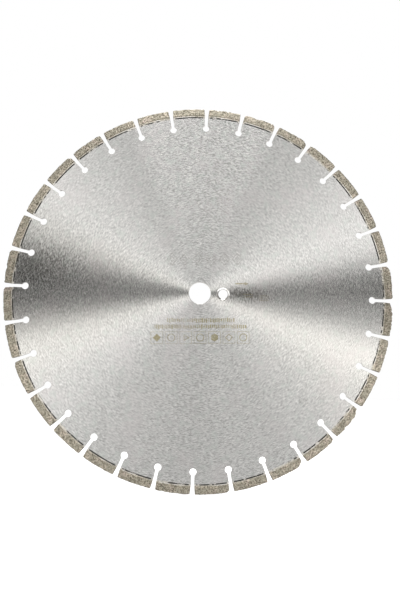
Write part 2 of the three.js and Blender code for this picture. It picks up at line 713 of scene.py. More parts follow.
@dataclass(frozen=True)
class CutSteel(Finish):
    """Laser-cut or turned steel: bright metal with faint tool marks and a little heat tint."""

    bright: Colour = (0.62, 0.60, 0.57)
    heat_tint: Colour = (0.36, 0.32, 0.27)
    mark_size: float = 0.5 * MM
    heat_size: float = 5 * MM
    bump: float = 0.02 * MM

    def metal(self, graph: Graph, marks: bpy.types.NodeSocket) -> bpy.types.NodeSocket:
        """The metal's colour, given a mask of its tool marks."""
        heat = graph.band(graph.noise(graph.place(), 1.0 / self.heat_size, 2.0), 0.4, 0.75)
        share = graph.math("MULTIPLY", heat, marks)
        return graph.mix(share, opaque(self.bright), opaque(self.heat_tint))

    def material(self) -> bpy.types.Material:
        """The cut steel.

        Returns:
            The material.
        """
        graph, shader, material = self.start()
        marks = graph.noise(graph.place(), 1.0 / self.mark_size, 3.0, 0.6)
        graph.feed(shader.inputs["Base Color"], self.metal(graph, marks))
        bump = graph.add("ShaderNodeBump", {"Height": marks, "Distance": self.bump, "Strength": 0.5})
        graph.feed(shader.inputs["Normal"], bump.outputs[0])
        return material


@dataclass(frozen=True)
class TurnedCone(CutSteel):
    """A turned countersink on +X, with a dark ring of painted shade round its small end, standing for the
    hole's shaded wall.
    """

    # painted shade: the dark ring at the small end
    inner_edge_shade: Colour = (0.22, 0.21, 0.19)
    centre: float = 27 * MM
    small_end: float = 5.6 * MM
    inner_edge_shade_width: float = 0.55 * MM

    def metal(self, graph: Graph, marks: bpy.types.NodeSocket) -> bpy.types.NodeSocket:
        """The cone's colour, given a mask of its tool marks, with the ring of painted shade at its small
        end.
        """
        rim = self.small_end + self.inner_edge_shade_width
        inner_edge_shade = graph.band(graph.radius(self.centre), rim, rim - 0.4 * self.inner_edge_shade_width)
        return graph.mix(inner_edge_shade, super().metal(graph, marks), opaque(self.inner_edge_shade))


@dataclass(frozen=True)
class SinteredBond(Finish):
    """Sintered metal bond full of diamond grit: mottled and grainy, and ground flush at the sides."""

    tan: Colour = (0.74, 0.66, 0.54)
    olive: Colour = (0.58, 0.54, 0.435)
    fleck: Colour = (0.85, 0.80, 0.70)
    grain: Colour = (0.05, 0.04, 0.03)
    # darkens the segment along its ends and outer edge
    edge_darkening: Colour = (0.16, 0.14, 0.11)
    blush: Tint = Tint("Patches", (0.83, 0.705, 0.62), 0.58, 0.70)
    brown: Tint = Tint("Blotches", (0.15, 0.125, 0.09), 0.43, 0.57, 0.7)
    # dark spots on the front face, as given: painted dark reflection in the dark fans, and a plain
    # darkening
    stains_and_shade: tuple[StainAndShade, ...] = ()
    grain_size: float = 1.2 * MM
    roughness_swing: float = 0.08
    bump: float = 0.10 * MM
    half_length: float = 19.1 * MM
    outer: float = 225 * MM
    edge_darkening_width: float = 1.1 * MM
    lay_lift: float = 1 * MM

    def bond(self, graph: Graph, shader: bpy.types.Node) -> bpy.types.NodeSocket:
        """Dresses the shader, except for its colour.

        Args:
            graph: the material's graph.
            shader: its Principled shader.

        Returns:
            The bond's colour.
        """
        grit = graph.add("ShaderNodeGroup", {"Grain Size": self.grain_size}, node_tree=Effects.grit())
        patches, powder = grit.outputs["Patches"], grit.outputs["Powder"]
        colour = graph.mix(graph.band(patches, 0.42, 0.62), opaque(self.olive), opaque(self.tan))
        colour = self.blush.over(graph, colour, grit)
        colour = self.brown.over(graph, colour, grit)
        colour = graph.mix(grit.outputs["Flecks"], colour, opaque(self.fleck))
        colour = graph.mix(grit.outputs["Grains"], colour, opaque(self.grain))
        # darker along the segment's ends and outer edge, in powdery patches
        end = graph.band(graph.from_middle(), self.half_length - self.edge_darkening_width, self.half_length)
        edge = graph.band(graph.radius(), self.outer - self.edge_darkening_width, self.outer)
        edge_darkening = graph.math("MULTIPLY", graph.math("MAXIMUM", end, edge), graph.band(powder, 0.3, 0.6))
        colour = graph.mix(edge_darkening, colour, opaque(self.edge_darkening))
        for stain_and_shade in self.stains_and_shade:
            colour = stain_and_shade.over(graph, colour, powder)
        low = self.roughness - self.roughness_swing
        high = self.roughness + self.roughness_swing
        graph.feed(shader.inputs["Roughness"], graph.spread(powder, low, high))
        blotches = graph.band(grit.outputs["Blotches"], self.brown.low, self.brown.high)
        height = graph.math("SUBTRACT", powder, graph.math("ADD", grit.outputs["Grains"], blotches))
        bump = graph.add("ShaderNodeBump", {"Height": height, "Distance": self.bump, "Strength": 0.7})
        graph.feed(shader.inputs["Normal"], bump.outputs[0])
        graph.feed(shader.inputs["Tangent"], graph.lay(self.lay_lift))
        return colour

    def material(self) -> bpy.types.Material:
        """The bond, with grains and pores in colour, roughness and relief."""
        graph, shader, material = self.start()
        graph.feed(shader.inputs["Base Color"], self.bond(graph, shader))
        return material


@dataclass(frozen=True)
class FootBond(SinteredBond):
    """A segment's foot: pale bare metal with a painted highlight next to the weld, and a painted shadow
    under the ledge in places.
    """

    brown: Tint = Tint("Blotches", (0.15, 0.125, 0.09), 0.43, 0.57, 0.5)
    # the pale strip next to the weld: the foot's bare metal, with a painted highlight on it
    bright: Colour = (0.88, 0.85, 0.80)
    # painted shadow under the ledge
    ledge_shade: Colour = (0.10, 0.08, 0.055)
    bright_outer: float = 216.1 * MM
    bright_soft: float = 0.45 * MM
    ragged_size: float = 1.3 * MM
    ragged_reach: float = 2 * MM
    ledge_shade_inner: float = 217.0 * MM
    ledge_shade_soft: float = 0.2 * MM
    patch_size: float = 7 * MM
    bare_size: float = 23.33 * MM

    def material(self) -> bpy.types.Material:
        """The foot's bond, with the pale strip of metal and painted highlight, and the painted shadow
        under the ledge over it.

        Returns:
            The material.
        """
        graph, shader, material = self.start()
        colour = self.bond(graph, shader)
        radius = graph.radius()
        # the pale strip: bare metal of the foot, partly a painted highlight, with a ragged edge
        ragged = graph.noise(graph.place(), 1.0 / self.ragged_size, 3.0, 0.6)
        inset = graph.math("SUBTRACT", radius, self.ragged_reach / 2)
        shift = graph.math("MULTIPLY_ADD", ragged, self.ragged_reach, inset)
        low = self.bright_outer - self.bright_soft
        high = self.bright_outer + self.bright_soft
        strip = graph.band(shift, high, low)
        bare = graph.band(graph.noise(graph.place(), 1.0 / self.bare_size, 3.0, 0.7), 0.5, 0.58)
        strip = graph.math("MULTIPLY", strip, graph.spread(bare, 0.25, 1.0))
        colour = graph.mix(strip, colour, opaque(self.bright))
        # painted shadow under the ledge, in patches
        corner = graph.band(radius, self.ledge_shade_inner - self.ledge_shade_soft, self.ledge_shade_inner + self.ledge_shade_soft)
        patches = graph.band(graph.noise(graph.place(), 1.0 / self.patch_size, 3.0, 0.7), 0.45, 0.55)
        ledge_shade = graph.math("MULTIPLY", corner, patches)
        graph.feed(shader.inputs["Base Color"], graph.mix(ledge_shade, colour, opaque(self.ledge_shade)))
        return material


@dataclass(frozen=True)
class WeldSteel(Finish):
    """A laser weld: a bright remelted strip with a near-black line of painted shadow along its inner edge,
    where the undercut is.
    """

    bright: Colour = (0.92, 0.89, 0.83)
    dull: Colour = (0.60, 0.56, 0.49)
    # painted shadow: the near-black, dull line in the undercut at the weld's inner edge
    undercut_shade: Colour = (0.020, 0.018, 0.014)
    undercut_shade_roughness: float = 0.8
    ripple_size: float = 0.8 * MM
    line_outer: float = 215.4 * MM
    line_soft: float = 0.10 * MM
    line_half_length: float = 17.6 * MM
    line_taper: float = 1 * MM
    patch_size: float = 36 * MM

    def material(self) -> bpy.types.Material:
        """The weld's bright strip, its line of painted shadow and where that line breaks off.

        Returns:
            The material.
        """
        graph, shader, material = self.start()
        ripple = graph.noise(graph.place(), 1.0 / self.ripple_size, 3.0, 0.6)
        metal = graph.mix(graph.band(ripple, 0.3, 0.7), opaque(self.dull), opaque(self.bright))
        # the line of painted shadow along the inner edge, broken in patches and stopping short of the ends
        low = self.line_outer - self.line_soft
        high = self.line_outer + self.line_soft
        line = graph.band(graph.radius(), high, low)
        whole = graph.band(graph.noise(graph.place(), 1.0 / self.patch_size, 5.0, 0.85), 0.43, 0.49)
        half = self.line_half_length
        inside = graph.band(graph.from_middle(), half, half - self.line_taper)
        share = graph.math("MULTIPLY", line, graph.math("MULTIPLY", whole, inside))
        graph.feed(shader.inputs["Base Color"], graph.mix(share, metal, opaque(self.undercut_shade)))
        graph.feed(shader.inputs["Metallic"], graph.spread(share, self.metallic, 0.0))
        graph.feed(shader.inputs["Roughness"], graph.spread(share, self.roughness, self.undercut_shade_roughness))
        return material


# ---------------------------------------------------------------- the blade


@dataclass
class SteelCore:
    """The core: a flat ground disc with keyhole gullets, the arbor bore and the drive pin hole.

    ground is the finish of its two faces, cut of its cut edges and holes, and turned of the pin
    hole's countersink.
    """

    ground: GroundSteel = GroundSteel(
        "ground_face",
        roughness=0.22,
        anisotropic=1.0,
        stains_and_shade=(
            # painted dark reflection, deepening the dark fan on the right beside the pin hole
            StainAndShade(55 * MM, 0.5 * MM, 26 * MM, 9 * MM, 0.85, OIL_AND_SHADE),
            # painted dark reflection, deepening the dark fan on the left
            StainAndShade(-190 * MM, 26 * MM, 46 * MM, 28 * MM, 0.55, OIL_AND_SHADE),
            # a small spot of oil
            StainAndShade(122 * MM, -119 * MM, 7 * MM, 5 * MM, 0.3, OIL_AND_SHADE),
        ),
    )
    cut: CutSteel = CutSteel("cut_edge", roughness=0.35)
    turned: TurnedCone = TurnedCone(
        "turned_cone", roughness=0.06, bright=(0.88, 0.87, 0.85), bump=0.002 * MM
    )
    reach: Reach = field(default_factory=lambda: Reach.of("steel_core"))
    slot_width: float = 3.7 * MM
    mouth_radius: float = 0.7 * MM
    keyhole_radius: float = 4 * MM
    keyhole_centre: float = 201 * MM
    bore_chamfer: float = 0.4 * MM
    pin_centre: float = 27 * MM
    pin_radius: float = 5.6 * MM
    pin_countersink: float = 1.9 * MM
    pin_back_chamfer: float = 0.3 * MM
    pin_zone: float = 9 * MM
    edge_break: float = 0.08 * MM
    hub_radius: float = 45 * MM
    ring_radius: float = 190 * MM
    ring_steps: int = 8
    land_steps: int = 8
    mouth_steps: int = 4
    keyhole_steps: int = 28
    bore_steps: int = 64
    pin_steps: int = 32

    def _sector(self, bm: bmesh.types.BMesh) -> bmesh.types.BMFace:
        """One gullet and half a land on each side of it, as one flat face.

        Args:
            bm: the mesh to draw in.

        Returns:
            The face.
        """
        half_slot = self.slot_width / 2
        half_mouth = half_slot + self.mouth_radius
        mouth = math.asin(half_mouth / self.reach.outer)
        flank_end = self.reach.outer * math.cos(mouth) - self.mouth_radius
        neck = math.asin(half_slot / self.keyhole_radius)
        half_land = PITCH / 2 - mouth
        hole = Vector((self.keyhole_centre, 0.0, 0.0))
        outline = Outline(bm, polar(self.ring_radius, -PITCH / 2))
        outline.arc(CENTRE, PITCH, self.ring_steps)
        outline.line(polar(self.reach.outer, PITCH / 2))
        outline.arc(CENTRE, -half_land, self.land_steps)
        outline.arc(Vector((flank_end, 0.0, half_mouth)), -math.pi / 2, self.mouth_steps)
        outline.line(hole + polar(self.keyhole_radius, neck))
        outline.arc(hole, math.tau - 2 * neck, self.keyhole_steps)
        outline.line(Vector((flank_end, 0.0, -half_slot)))
        outline.arc(Vector((flank_end, 0.0, -half_mouth)), -math.pi / 2, self.mouth_steps)
        outline.arc(CENTRE, -half_land, self.land_steps)
        return outline.fill()

    def _rim(self) -> bmesh.types.BMesh:
        """The flat ring that carries all the gullets.

        Returns:
            A new mesh that holds it.
        """
        bm = bmesh.new()
        self._sector(bm)
        copies = LANDS - 1
        bmesh.ops.spin(
            bm,
            geom=everything(bm),
            cent=CENTRE,
            axis=OUTWARD,
            angle=PITCH * copies,
            steps=copies,
            use_duplicate=True,
        )
        bmesh.ops.remove_doubles(bm, verts=bm.verts[:], dist=TINY)
        return bm

    def _hub(self, bm: bmesh.types.BMesh) -> None:
        """Adds the flat hub round the bore and the pin hole, as two mirrored halves.

        Args:
            bm: the mesh that holds the rim.
        """
        ring_half = self.ring_steps * LANDS // 2
        pin = Vector((self.pin_centre, 0.0, 0.0))
        old = set(everything(bm))
        outline = Outline(bm, polar(self.hub_radius, 0.0))
        outline.line(pin + polar(self.pin_radius, 0.0))
        outline.arc(pin, math.pi, self.pin_steps // 2)
        outline.line(polar(self.reach.inner, 0.0))
        outline.arc(CENTRE, math.pi, self.bore_steps // 2)
        outline.line(polar(self.hub_radius, math.pi))
        outline.arc(CENTRE, -math.pi * (ring_half - 1) / ring_half, ring_half - 1)
        outline.fill()
        half = [part for part in everything(bm) if part not in old]
        bmesh.ops.mirror(bm, geom=half, matrix=Matrix.Identity(4), merge_dist=TINY, axis="Z")

    def _web(self, bm: bmesh.types.BMesh) -> None:
        """Draws the rim's inner circle in to the hub's outer one.

        Args:
            bm: the mesh that holds both.
        """
        ring = []
        for edge in bm.edges:
            on_circle = all(abs(v.co.length - self.ring_radius) < 10 * TINY for v in edge.verts)
            if on_circle and edge.is_boundary:
                ring.append(edge)
        made = bmesh.ops.extrude_edge_only(bm, edges=ring)["geom"]
        inner = [g for g in made if isinstance(g, bmesh.types.BMVert)]
        share = self.hub_radius / self.ring_radius
        bmesh.ops.scale(bm, verts=inner, vec=(share, share, share))
        bmesh.ops.remove_doubles(bm, verts=bm.verts[:], dist=TINY)

    def _corner_edges(
        self, bm: bmesh.types.BMesh, centre: Vector, low: float, high: float, side: Side | None = None
    ) -> list[bmesh.types.BMEdge]:
        """Finds the square edges between a face and a wall.

        Args:
            bm: the mesh.
            centre: the axis that distances are measured from.
            low: the least distance.
            high: the greatest distance.
            side: the face that the edges lie on, or None for both.

        Returns:
            The edges.
        """
        found = []
        for edge in bm.edges:
            flat = [Vector((v.co.x - centre.x, 0.0, v.co.z - centre.z)).length for v in edge.verts]
            level = abs(edge.verts[0].co.y - edge.verts[1].co.y) < TINY
            right_side = side is None or edge.verts[0].co.y * side.value > 0
            sharp = edge.calc_face_angle(0.0) > math.radians(80)
            if sharp and level and right_side and low < min(flat) and max(flat) < high:
                found.append(edge)
        return found

    def _break_edges(self, bm: bmesh.types.BMesh) -> None:
        """Chamfers the bore, countersinks the pin hole and breaks the outer edges.

        Args:
            bm: the square-edged core.
        """
        pin = Vector((self.pin_centre, 0.0, 0.0))
        slack = 0.1 * MM
        bore = (self.reach.inner - slack, self.reach.inner + slack)
        hole = (self.pin_radius - slack, self.pin_radius + slack)
        bevel_edges(bm, self._corner_edges(bm, CENTRE, *bore), self.bore_chamfer, 1)
        bevel_edges(bm, self._corner_edges(bm, pin, *hole, Side.FRONT), self.pin_countersink, 1)
        bevel_edges(bm, self._corner_edges(bm, pin, *hole, Side.BACK), self.pin_back_chamfer, 1)
        rim = self._corner_edges(bm, CENTRE, self.ring_radius + slack, self.reach.outer + slack)
        bevel_edges(bm, rim, self.edge_break, 2)

    def _finish_of(self, face: bmesh.types.BMFace) -> int:
        """Chooses a face's finish.

        Args:
            face: the face.

        Returns:
            The finish's number: 0 on the ground faces, 1 where cut, 2 in the countersink.
        """
        lean = abs(face.normal.y)
        if lean > 0.99:
            return 0
        from_pin = face.calc_center_median() - Vector((self.pin_centre, 0.0, 0.0))
        return 2 if from_pin.length < self.pin_zone and lean > 0.3 else 1

    def build(self) -> list[bpy.types.Object]:
        """Builds the core in place of its CAD node.

        Returns:
            The core alone.
        """
        finishes = [finish.material() for finish in (self.ground, self.cut, self.turned)]
        bm = self._rim()
        self._hub(bm)
        self._web(bm)
        bmesh.ops.translate(bm, verts=bm.verts[:], vec=(0.0, self.reach.front, 0.0))
        thicken(bm, bm.faces[:], Vector((0.0, self.reach.back - self.reach.front, 0.0)))
        bmesh.ops.recalc_face_normals(bm, faces=bm.faces[:])
        bm.normal_update()
        self._break_edges(bm)
        bm.normal_update()
        for face in bm.faces:
            face.material_index = self._finish_of(face)
        core = finish_piece(bm, "ground_core", finishes)
        return [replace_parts(core, "steel_core")]


@dataclass(frozen=True)
class Wear:
    """How far from square a segment's outer edge is.

    start and end are the reach along the segment and the drop of its worn outer corners, at its
    clockwise and anticlockwise end. ragged is how rough its outer edge is.
    """

    start: tuple[float, float]
    end: tuple[float, float]
    ragged: float


@dataclass
class DiamondSegments:
    """The 32 sintered segments: a thin foot on the core, and the wider diamond layer on it.

    Their wear is chosen for the worst ones, by number, and drawn from the seed for the rest.
    """

    layer: SinteredBond = SinteredBond(
        "diamond_bond",
        metallic=0.95,
        roughness=0.30,
        anisotropic=0.95,
        stains_and_shade=(
            # painted dark reflection on the segments in the dark fan on the right
            StainAndShade(222 * MM, -6 * MM, 40 * MM, 56 * MM, 0.55, BOND_SHADE_AND_DARKENING),
            # painted dark reflection on the segments in the dark fan on the left
            StainAndShade(-222 * MM, 6 * MM, 40 * MM, 50 * MM, 0.25, BOND_SHADE_AND_DARKENING),
            # darkens the segments at the bottom of the blade
            StainAndShade(-10 * MM, -235 * MM, 170 * MM, 90 * MM, 0.30, BOND_SHADE_AND_DARKENING),
        ),
    )
    foot: FootBond = FootBond(
        "foot_bond", metallic=0.93, roughness=0.30, anisotropic=0.95, bump=0.03 * MM
    )
    foot_height: float = 2.1 * MM
    foot_share: float = 3.0 / 3.6
    ledge: float = 0.12 * MM
    length_cuts: int = 75
    through_cuts: int = 6
    layer_cuts: int = 14
    foot_cuts: int = 3
    edge_round: float = 0.3 * MM
    edge_draw_in: float = 0.10
    end_draw_in: float = 0.07
    chip_power: float = 1.3
    notch_size: float = 4 * MM
    notch_share: float = 1.4
    nick_size: float = 1.1 * MM
    nick_share: float = 0.9
    even_share: float = 0.35
    lump_size: float = 2.4 * MM
    grain_size: float = 0.7 * MM
    relief: float = 0.10 * MM
    foot_relief: float = 0.035 * MM
    seed: int = 71
    reach: Reach = field(default_factory=lambda: Reach.of("segment_01"))
    worn: dict[int, Wear] = field(
        default_factory=lambda: {
            1: Wear((2.0 * MM, 0.8 * MM), (5.0 * MM, 2.6 * MM), 0.7 * MM),
            2: Wear((3.0 * MM, 1.2 * MM), (1.5 * MM, 0.5 * MM), 0.3 * MM),
            3: Wear((4.5 * MM, 1.3 * MM), (3.0 * MM, 0.8 * MM), 0.3 * MM),
            5: Wear((5.0 * MM, 1.0 * MM), (5.0 * MM, 1.0 * MM), 0.3 * MM),
            6: Wear((4.5 * MM, 3.0 * MM), (2.0 * MM, 0.5 * MM), 0.4 * MM),
            7: Wear((3.0 * MM, 1.9 * MM), (1.5 * MM, 0.8 * MM), 1.0 * MM),
            8: Wear((3.0 * MM, 0.6 * MM), (1.5 * MM, 0.5 * MM), 0.7 * MM),
            13: Wear((4.0 * MM, 2.6 * MM), (1.0 * MM, 0.4 * MM), 0.25 * MM),
            16: Wear((2.5 * MM, 1.0 * MM), (1.0 * MM, 0.4 * MM), 0.7 * MM),
            17: Wear((3.0 * MM, 1.8 * MM), (1.0 * MM, 0.4 * MM), 0.3 * MM),
            19: Wear((5.0 * MM, 2.3 * MM), (1.0 * MM, 0.4 * MM), 0.4 * MM),
            25: Wear((0.8 * MM, 0.3 * MM), (3.0 * MM, 2.2 * MM), 0.25 * MM),
            27: Wear((0.8 * MM, 0.3 * MM), (6.5 * MM, 4.4 * MM), 0.3 * MM),
            28: Wear((1.0 * MM, 0.4 * MM), (4.0 * MM, 2.0 * MM), 0.25 * MM),
            29: Wear((1.0 * MM, 0.4 * MM), (8.0 * MM, 3.2 * MM), 0.7 * MM),
            30: Wear((2.0 * MM, 0.9 * MM), (1.5 * MM, 0.6 * MM), 0.3 * MM),
            31: Wear((1.0 * MM, 0.4 * MM), (4.0 * MM, 1.4 * MM), 0.5 * MM),
            32: Wear((1.5 * MM, 0.6 * MM), (11.0 * MM, 3.6 * MM), 0.9 * MM),
        }
    )

    @property
    def height(self) -> float:
        """The height of a segment, foot and layer."""
        return self.reach.outer - self.reach.inner

    def half_length(self) -> float:
        """Half the distance between a segment's parallel ends, from its CAD node."""
        middle = mid_angle(1)
        along = Vector((-math.sin(middle), 0.0, math.cos(middle)))
        return max(abs(v.co.dot(along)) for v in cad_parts["segment_01"].data.vertices)

    def _wear(self, number: int, draw: random.Random) -> Wear:
        """The wear of one segment: chosen for the worst ones, drawn for the rest.

        Args:
            number: the segment's number.
            draw: where the drawn wear comes from, used for every segment alike.

        Returns:
            The wear.
        """
        drawn = Wear(
            (draw.uniform(0.7, 2.0) * MM, draw.uniform(0.25, 0.7) * MM),
            (draw.uniform(0.7, 2.0) * MM, draw.uniform(0.25, 0.7) * MM),
            draw.uniform(0.2, 0.5) * MM,
        )
        return self.worn.get(number, drawn)

    def _blank(self) -> bmesh.types.BMesh:
        """A square-edged segment on the bench, with its foot's inner face at height 0.

        Returns:
            A new mesh that holds it.
        """
        bm = bmesh.new()
        bmesh.ops.create_cube(bm, size=1.0)
        size = (2 * self.half_length(), self.reach.back - self.reach.front, self.height)
        bmesh.ops.scale(bm, verts=bm.verts[:], vec=size)
        bmesh.ops.translate(bm, verts=bm.verts[:], vec=(0.0, 0.0, self.height / 2))
        ledge_low = self.foot_height - self.ledge / 2
        ledge_high = self.foot_height + self.ledge / 2
        for level in (ledge_low, ledge_high):
            middle = (0.0, 0.0, level)
            bmesh.ops.bisect_plane(bm, geom=everything(bm), dist=TINY, plane_co=middle, plane_no=UP)
        slice_along(bm, Axis.HEIGHT, self.layer_cuts, low=ledge_high)
        slice_along(bm, Axis.HEIGHT, self.foot_cuts, high=ledge_low)
        slice_along(bm, Axis.LENGTH, self.length_cuts)
        slice_along(bm, Axis.THROUGH, self.through_cuts)
        for vert in bm.verts:
            if vert.co.z < self.foot_height:
                vert.co.y *= self.foot_share
        return bm

    def _drop(self, along: float, half: float, wear: Wear, shift: Vector) -> float:
        """How far the outer edge is worn down at a place along the segment.

        Args:
            along: the place, from the middle of the segment.
            half: half the segment's length.
            wear: the segment's wear.
            shift: the segment's own place in the noise.

        Returns:
            The drop, 0 or more.
        """
        drop = 0.0
        for sign, (run, depth) in ((-1, wear.start), (1, wear.end)):
            share = min(1.0, max(0.0, (sign * along - half + run) / run))
            drop = max(drop, depth * share**self.chip_power)
        notches = noise.noise(Vector((along / self.notch_size, 0.0, 0.0)) + shift)
        nicks = noise.noise(Vector((along / self.nick_size, 5.0, 0.0)) + shift)
        bites = self.even_share + self.notch_share * notches + self.nick_share * nicks
        return drop + wear.ragged * max(0.0, bites)

    def _shape(self, bm: bmesh.types.BMesh, wear: Wear, shift: Vector) -> None:
        """Wears the outer edge, eases the corners and roughens the whole segment.

        Args:
            bm: the square-edged segment.
            wear: how far its outer edge is worn.
            shift: the segment's own place in the noise.
        """
        half = self.half_length()
        layer_height = self.height - self.foot_height
        for vert in bm.verts:
            along, through, up = vert.co
            edge = ramp(up, self.height - 2 * self.edge_round, self.height)
            end = ramp(abs(along), half - 2 * self.edge_round, half)
            vert.co.y = through * (1.0 - self.edge_draw_in * edge * edge - self.end_draw_in * end * end)
            if up > self.foot_height:
                drop = self._drop(along, half, wear, shift)
                vert.co.z = up - drop * (up - self.foot_height) / layer_height
        bm.normal_update()
        for vert in bm.verts:
            lumps = noise.noise(vert.co / self.lump_size + shift)
            grains = noise.noise(vert.co / self.grain_size + shift)
            relief = self.relief if vert.co.z > self.foot_height else self.foot_relief
            vert.co += vert.normal * (relief * (lumps + grains))

    def build(self) -> list[bpy.types.Object]:
        """Builds every segment in place of its CAD node.

        Returns:
            The segments.
        """
        finishes = [self.layer.material(), self.foot.material()]
        draw = random.Random(self.seed)
        pieces = []
        for number in range(1, LANDS + 1):
            shift = noise_place(draw)
            wear = self._wear(number, draw)
            bm = self._blank()
            for face in bm.faces:
                in_foot = face.calc_center_median().z < self.foot_height - self.ledge / 2
                face.material_index = int(in_foot)
            self._shape(bm, wear, shift)
            bend_to_rim(bm, self.reach.inner, number, mirrored=True)
            name = f"diamond_segment_{number:02d}"
            piece = finish_piece(bm, name, finishes, SHARP_IF_ROUGH)
            pieces.append(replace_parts(piece, f"segment_{number:02d}"))
        return pieces


@dataclass
class WeldSeams:
    """The laser weld that joins each segment's foot to its land."""

    weld: WeldSteel = WeldSteel("weld_steel", roughness=0.35)
    inner: float = 213.9 * MM
    outer: float = 215.75 * MM
    half_length: float = 18.6 * MM
    proud: float = 0.09 * MM
    sunk: float = 0.04 * MM
    end_taper: float = 1.2 * MM
    end_crown: float = 0.25
    ripple: float = 0.05 * MM
    ripple_size: float = 1.3 * MM
    length_cuts: int = 59
    height_cuts: int = 7
    seed: int = 12
    reach: Reach = field(default_factory=lambda: Reach.of("steel_core"))

    def _bar(self) -> bmesh.types.BMesh:
        """A flat bar as thick as the core, on the bench, with its middle at height 0.

        Returns:
            A new mesh that holds it.
        """
        bm = bmesh.new()
        bmesh.ops.create_cube(bm, size=1.0)
        size = (2 * self.half_length, 2 * self.reach.back, self.outer - self.inner)
        bmesh.ops.scale(bm, verts=bm.verts[:], vec=size)
        slice_along(bm, Axis.LENGTH, self.length_cuts)
        slice_along(bm, Axis.HEIGHT, self.height_cuts)
        return bm

    def _crown(self, bm: bmesh.types.BMesh, shift: Vector) -> None:
        """Raises a rippled crown on both faces of a bar, lower at its ends.

        Args:
            bm: the bar.
            shift: the seam's own place in the noise.
        """
        for vert in bm.verts:
            share = 2 * vert.co.z / (self.outer - self.inner)
            end = 1.0 - ramp(abs(vert.co.x), self.half_length - self.end_taper, self.half_length)
            crown = (1.0 - share * share) * (self.end_crown + (1.0 - self.end_crown) * end)
            place = Vector((vert.co.x / self.ripple_size, vert.co.y / MM, share))
            wave = noise.noise(place + shift)
            rise = self.proud * crown + self.ripple * wave * crown - self.sunk
            vert.co.y += math.copysign(rise, vert.co.y)

    def build(self) -> list[bpy.types.Object]:
        """Builds a seam on every land.

        Returns:
            The seams.
        """
        finishes = [self.weld.material()]
        draw = random.Random(self.seed)
        pieces = []
        for number in range(1, LANDS + 1):
            bm = self._bar()
            self._crown(bm, noise_place(draw))
            bend_to_rim(bm, (self.inner + self.outer) / 2, number)
            name = f"weld_seam_{number:02d}"
            pieces.append(finish_piece(bm, name, finishes, SHARP_IF_ROUGH))
        return pieces


